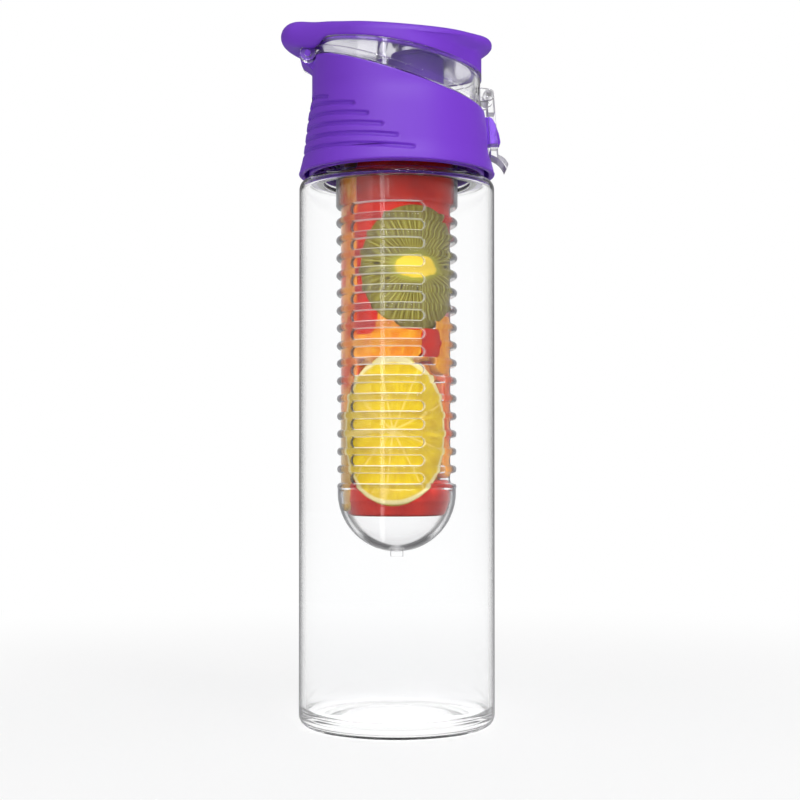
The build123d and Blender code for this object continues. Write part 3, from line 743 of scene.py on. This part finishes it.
# The lid: one satin polypropylene moulding, dyed purple through. Its grooved skirt hides the
# sleeve that screws on the neck, and its deck inside the sloping rim carries the spout and the
# vent post. A knuckle at the rear takes the hinge pin, and a catch at the front the latch.
def purple_plastic(name, colour):
    """Satin plastic with soft edges, a fine mould grain and a slight change of tone."""
    plastic = Finish(name)
    point, _, _, _ = plastic.place()
    grain = plastic.mottle(point, 900, 3)
    tone = plastic.tint(plastic.mottle(point, 30), colour, [c * 0.93 for c in colour])
    edges = plastic.node("ShaderNodeBevel", {"samples": 6}, {"Radius": 0.4 * MM})
    relief = {"Strength": 0.05, "Distance": 0.0002, "Height": grain, "Normal": edges}
    return plastic.end(plastic.node("ShaderNodeBsdfPrincipled", {}, {
        "Base Color": tone, "Roughness": 0.42 + grain * 0.12,
        "Normal": plastic.node("ShaderNodeBump", {}, relief), "Specular IOR Level": 0.25,
    }))


purple = purple_plastic("purple_plastic", (0.17, 0.038, 0.56))
thread("sleeve_thread", purple, "lid", "purple_plastic", root=31.18, crest=30.2, low=211.25)

lid_foot, foot_radius, skirt_radius, waist_radius, top_radius = 205.2, 36.69, 35.2, 33.1, 31.8
edge_round, chamfer, rim_bore, deck_under, deck_top = 0.6, 0.4, 29.6, 225.3, 227.7
sleeve_bore, sleeve_radius, skirt_bore, skirt_roof = 31.2, 32.8, 34.5, 211.0
rim_curve, rim_middle_x, rim_middle_z = 500.0, 152.85, 714.07
hinge_x, hinge_z, knuckle_radius, knuckle_half, lug_half, lug_clearance = -33.0, 249.5, 3.2, 6.0, 10.6, 3.5
recess_x, recess_half, recess_low = 33.4, 8.5, 210.5
spout_x, spout_hole_radius, vent_x = 7.2, 9.1, -5.6


def smooth_step(low, high, value):
    """0 at low, 1 at high and smooth between them."""
    share = min(1, max(0, (value - low) / (high - low)))
    return share * share * (3 - 2 * share)


def lid_radius(height):
    """The lid's outer radius at a height, with each bend of its outline blended."""
    outline = ((200.0, foot_radius), (205.6, foot_radius), (211.2, skirt_radius), (228.0, waist_radius),
               (234.0, top_radius), (260.0, top_radius))
    total = 0
    for shift in (-2, -1, 0, 1, 2):
        z = height + shift
        for (low, wide), (high, narrow) in zip(outline, outline[1:]):
            if low <= z <= high:
                total += wide + (narrow - wide) * (z - low) / (high - low)
                break
    return total / 5


def lid_rim(x, y):
    """The height of the lid's sloping rim, cut round for the cover's two hinge lugs."""
    height = rim_middle_z - sqrt(rim_curve**2 - (x - rim_middle_x) ** 2)
    behind = abs(x - hinge_x)
    if knuckle_half < abs(y) < lug_half and behind < lug_clearance:
        height = min(height, hinge_z - sqrt(lug_clearance**2 - behind**2))
    return height


def groove_depth(x, y, z):
    """How deep a grip groove is at a place on the lid's skin.

    Each groove falls from the rear to its share of the way to the front, where it ends.
    """
    first_groove, groove_pitch, groove_fall, deepest = 233.7, 4.2, 3.1, 0.85
    depth = 0
    for index, share in enumerate((0.23, 0.52, 0.67, 0.83, 0.99, 1.17)):
        reach, along = share * waist_radius, x + waist_radius
        line = first_groove - groove_pitch * index - groove_fall * min(max(along, 0), reach) / reach
        past = max(0, along - reach) * waist_radius / max(5, abs(y))
        depth = max(depth, deepest * (1 - smooth_step(0.35, 1.1, hypot(past, z - line))))
    return depth


def lid_column(turn):
    """The lid's section at one angle, from its deck's hole under and round it and back to the hole."""
    c, s = cos(turn), sin(turn)
    skin_steps, deck_steps = 150, 5

    def deck(share, outer, z):
        middle = spout_x * (1 - share)
        radius = spout_hole_radius + (outer - spout_hole_radius) * share
        return middle + radius * c, radius * s, z

    places = [deck(step / deck_steps, sleeve_bore, deck_under) for step in range(deck_steps + 1)]
    section = [
        (sleeve_bore, lid_foot + 0.5), (sleeve_bore + chamfer, lid_foot),
        (sleeve_radius - chamfer, lid_foot), (sleeve_radius, lid_foot + chamfer),
        (sleeve_radius, skirt_roof), (skirt_bore, skirt_roof),
        (skirt_bore, lid_foot + chamfer), (skirt_bore + chamfer, lid_foot), (35.9, lid_foot),
    ]
    side_radius, side_low = foot_radius - edge_round, lid_foot + edge_round
    for a in (0, pi / 6, pi / 3, pi / 2):
        section.append((side_radius + edge_round * sin(a), side_low - edge_round * cos(a)))
    side_top = lid_rim(top_radius * c, top_radius * s) - edge_round
    for step in range(1, skin_steps + 1):
        z = side_low + (side_top - side_low) * step / skin_steps
        out = lid_radius(z)
        out -= groove_depth(out * c, out * s, z)
        if c > 0 and abs(out * s) < recess_half and z > recess_low:
            out = min(out, recess_x / c)
        section.append((out, z))
    top_out = section[-1][0]
    for a in (pi / 6, pi / 3, pi / 2):
        section.append((top_out - edge_round * (1 - cos(a)), side_top + edge_round * sin(a)))
    inner = lid_rim(rim_bore * c, rim_bore * s)
    section += [(rim_bore + chamfer, inner), (rim_bore, inner - chamfer), (rim_bore, deck_top)]
    places += [(r * c, r * s, z) for r, z in section]
    places += [deck(1 - step / deck_steps, rim_bore, deck_top) for step in range(1, deck_steps + 1)]
    return places + places[:1]


def bar(shape, outline, half_width):
    """A convex outline of (x, z) points, made a bar along Y about the middle plane."""
    order = [outline[index] for index in geometry.convex_hull_2d(outline)]
    ends = [[shape.verts.new((x * MM, side * half_width * MM, z * MM)) for x, z in order] for side in (-1, 1)]
    for end in ends:
        shape.faces.new(end)
    for index in range(len(order)):
        following = (index + 1) % len(order)
        shape.faces.new((ends[0][index], ends[0][following], ends[1][following], ends[1][index]))


lid = bmesh.new()
lid_columns = [lid_column(turn) for turn in even_turns(360)]
skin(lid, [[(x * MM, y * MM, z * MM) for x, y, z in row] for row in zip(*lid_columns)])
knuckle = [(hinge_x + knuckle_radius * cos(a), hinge_z + knuckle_radius * sin(a)) for a in even_turns(40)]
bar(lid, knuckle + [(-29.8, 242.9), (-29.8, 246.3)], knuckle_half)
catch = [(31.9, 216.8), (38.2, 216.8), (38.65, 217.1), (38.75, 217.8), (38.2, 220.6),
         (37.0, 224.0), (35.7, 226.2), (34.7, 226.9), (31.9, 227.0)]
bar(lid, catch, 3.2)
vent_post = [(0, 227.0), (1.9, 227.0), (1.9, 246.2), (1.7, 246.5), (0.8, 246.5), (0.8, 228.0), (0, 228.0)]
turn_into(lid, vent_post, even_turns(32), vent_x)
piece("grooved_lid", finished_mesh(lid), purple, "lid", "purple_plastic", "lid_base")


# The hinge pin: a plain rod of the lid's own purple plastic. It is pressed through the knuckle,
# and the cover's two lugs turn on its ends.
finish_node("hinge_pin", purple)


# The spout, its stopper and the vent's plug, all in a deeper purple. The spout is pressed into
# the deck's hole, and the two soft stoppers are pushed on under the cover's top.
deep = purple_plastic("deep_purple_plastic", (0.15, 0.05, 0.46))
for name in ("spout", "spout_seal", "vent_plug"):
    finish_node(name, deep)


# The cover's top: a thick purple cap with round edges, a nose over the hinge and a thumb lip
# over the latch, hollow under the lip. It is welded to the clear wall by a rim inside it.
saddle_middle, saddle_radius, saddle_centre, crown_radius = 17.7, 210.0, 465.4, 421.0
cap_circles = ((0.8, 31.6), (15.7, 20.0), (-31.6, 12.0))
cap_underside, underside_slope, roof, roof_slope = 248.6, tan(radians(10.5)), 252.6, tan(radians(5.4))


def cap_height(x, y):
    """The cap's top surface."""
    rear_drop = 0.35 * smooth_step(10, 38, -x)
    saddle = saddle_centre - rear_drop - sqrt(saddle_radius**2 - (x - saddle_middle) ** 2)
    return saddle - y**2 / (2 * crown_radius)


def reach_of(circles, turn):
    """How far the outline drawn round (x, radius) circles reaches from the axis in one direction."""
    best = 1e9
    for step in range(-80, 81):
        side = turn + radians(step)
        support = max(x * cos(side) + radius for x, radius in circles)
        best = min(best, support / max(cos(radians(step)), 1e-3))
    return best


def cap_column(turn):
    """The cap's section at one angle, from the middle of its top round to the middle beneath it."""
    c, s = cos(turn), sin(turn)
    reach = reach_of(cap_circles, turn)
    away = abs((turn + pi) % (2 * pi) - pi)
    front = 1 - smooth_step(radians(10), radians(85), away)
    rear = smooth_step(radians(140), radians(166), away)
    top_round, low_round = 3.0 - 1.3 * front + 2.1 * rear, 0.7 + 4.2 * rear
    lip_hollow, lip_band = 3.9 * front**0.8, 0.6 + 1.6 * front
    nose_inset, nose_depth = 3, 10.6

    def over(out):
        return cap_height(out * c, out * s)

    def under(out):
        return cap_underside - out * c * underside_slope

    low = under(reach) * (1 - rear) + (over(reach - nose_inset) - nose_depth) * rear
    column = []
    for share in (0, 0.2, 0.4, 0.55, 0.7, 0.8, 0.88, 0.94):
        out = (reach - top_round) * share / 0.94
        column.append((out, over(out)))
    edge_top = over(reach - top_round)
    quarter = [pi / 2 * step / 7 for step in range(8)]
    for a in quarter[1:]:
        column.append((reach - top_round * (1 - sin(a)), edge_top - top_round * (1 - cos(a))))
    high_z, low_z = edge_top - top_round, low + low_round
    for step in range(1, 15):
        z = high_z + (low_z - high_z) * step / 15
        column.append((reach - lip_hollow * smooth_step(0, 4.0, edge_top - lip_band - z), z))
    foot = reach - lip_hollow
    for a in quarter:
        column.append((foot - low_round * (1 - cos(a)), low_z - low_round * sin(a)))
    inner = min(foot - low_round - 0.05, 32.2)
    column += [(inner, low), (inner - 0.05, under(inner))]
    column += [(out, under(out) - drop) for out, drop in ((29.5, 0), (29.4, 0.7), (27.9, 0.7))]
    for out in (27.8, 26.0, 24.0, 22.0, 20.0, 18.0, 15.0, 10.0, 5.0, 0):
        deep_roof, low_roof = roof - out * c * roof_slope, under(out) + 0.3
        column.append((out, deep_roof + (low_roof - deep_roof) * smooth_step(17.5, 24.0, out * c)))
    return column


cap = bmesh.new()
cap_turns = even_turns(216)
cap_rows = []
for ring in zip(*[cap_column(turn) for turn in cap_turns]):
    row = [polar(out, turn, z) for turn, (out, z) in zip(cap_turns, ring)]
    cap_rows.append(row if ring[0][0] else row[:1])
skin(cap, cap_rows)
for boss_x, boss_radius, boss_low in ((spout_x, 8.0, 250.7), (vent_x, 1.9, 248.9)):
    boss = [(0, boss_low, 0), (boss_radius, boss_low, 0.2), (boss_radius, 254.0, 0), (0, 254.0, 0)]
    turn_into(cap, soft_outline(boss), even_turns(48), boss_x)
cap_piece = piece("cover_cap", finished_mesh(cap), purple, "cover", "purple_plastic", "cover_top")

# The pocket under the cap, seen through the clear wall, is painted pale and made mirror-like: painted light
# that stands for the white room seen there.
pocket_radius, pocket_top, pocket_slope = 28.5 * MM, 254.6 * MM, 0.12
pocket = Finish("clear_pocket")
pocket_point, _, _, _ = pocket.place()
pocket_painted_light = pocket.tint(pocket.mottle(pocket_point, 40), (0.86, 0.84, 0.93), (0.92, 0.91, 0.96))
cap_piece.data.materials.append(pocket.end(pocket.node("ShaderNodeBsdfPrincipled", {}, {
    "Base Color": pocket_painted_light, "Roughness": 0.16, "Metallic": 0.8,
})))
for face in cap_piece.data.polygons:
    x, y, z = face.center
    if hypot(x, y) < pocket_radius and z + pocket_slope * x < pocket_top:
        face.material_index = 1


# The clear cover over the spout: one clear copolyester moulding, polished, with two lugs for the
# hinge pin and two for the short clear pin that the latch hangs on.
cover_colour = (0.985, 0.985, 0.99)
cover_plastic = clear_plastic(
    "clear_cover", cover_colour, (0.1, 0.09, 0.11), 0.6, 0.95, shine=1.0, softness=0.5 * MM
)
finish_node("flip_cover", cover_plastic)
finish_node("latch_pin", cover_plastic)


# The latch: one clear moulding of the cover's plastic, with its strip, its bar and its thumb tab.
# It hangs on the pin between the cover's front lugs, and its bar snaps under the lid's catch.
latch_plastic = clear_plastic("clear_latch", cover_colour, (0.42, 0.4, 0.43), 0.6, 0.95, shine=1.0)
finish_node("latch", latch_plastic)
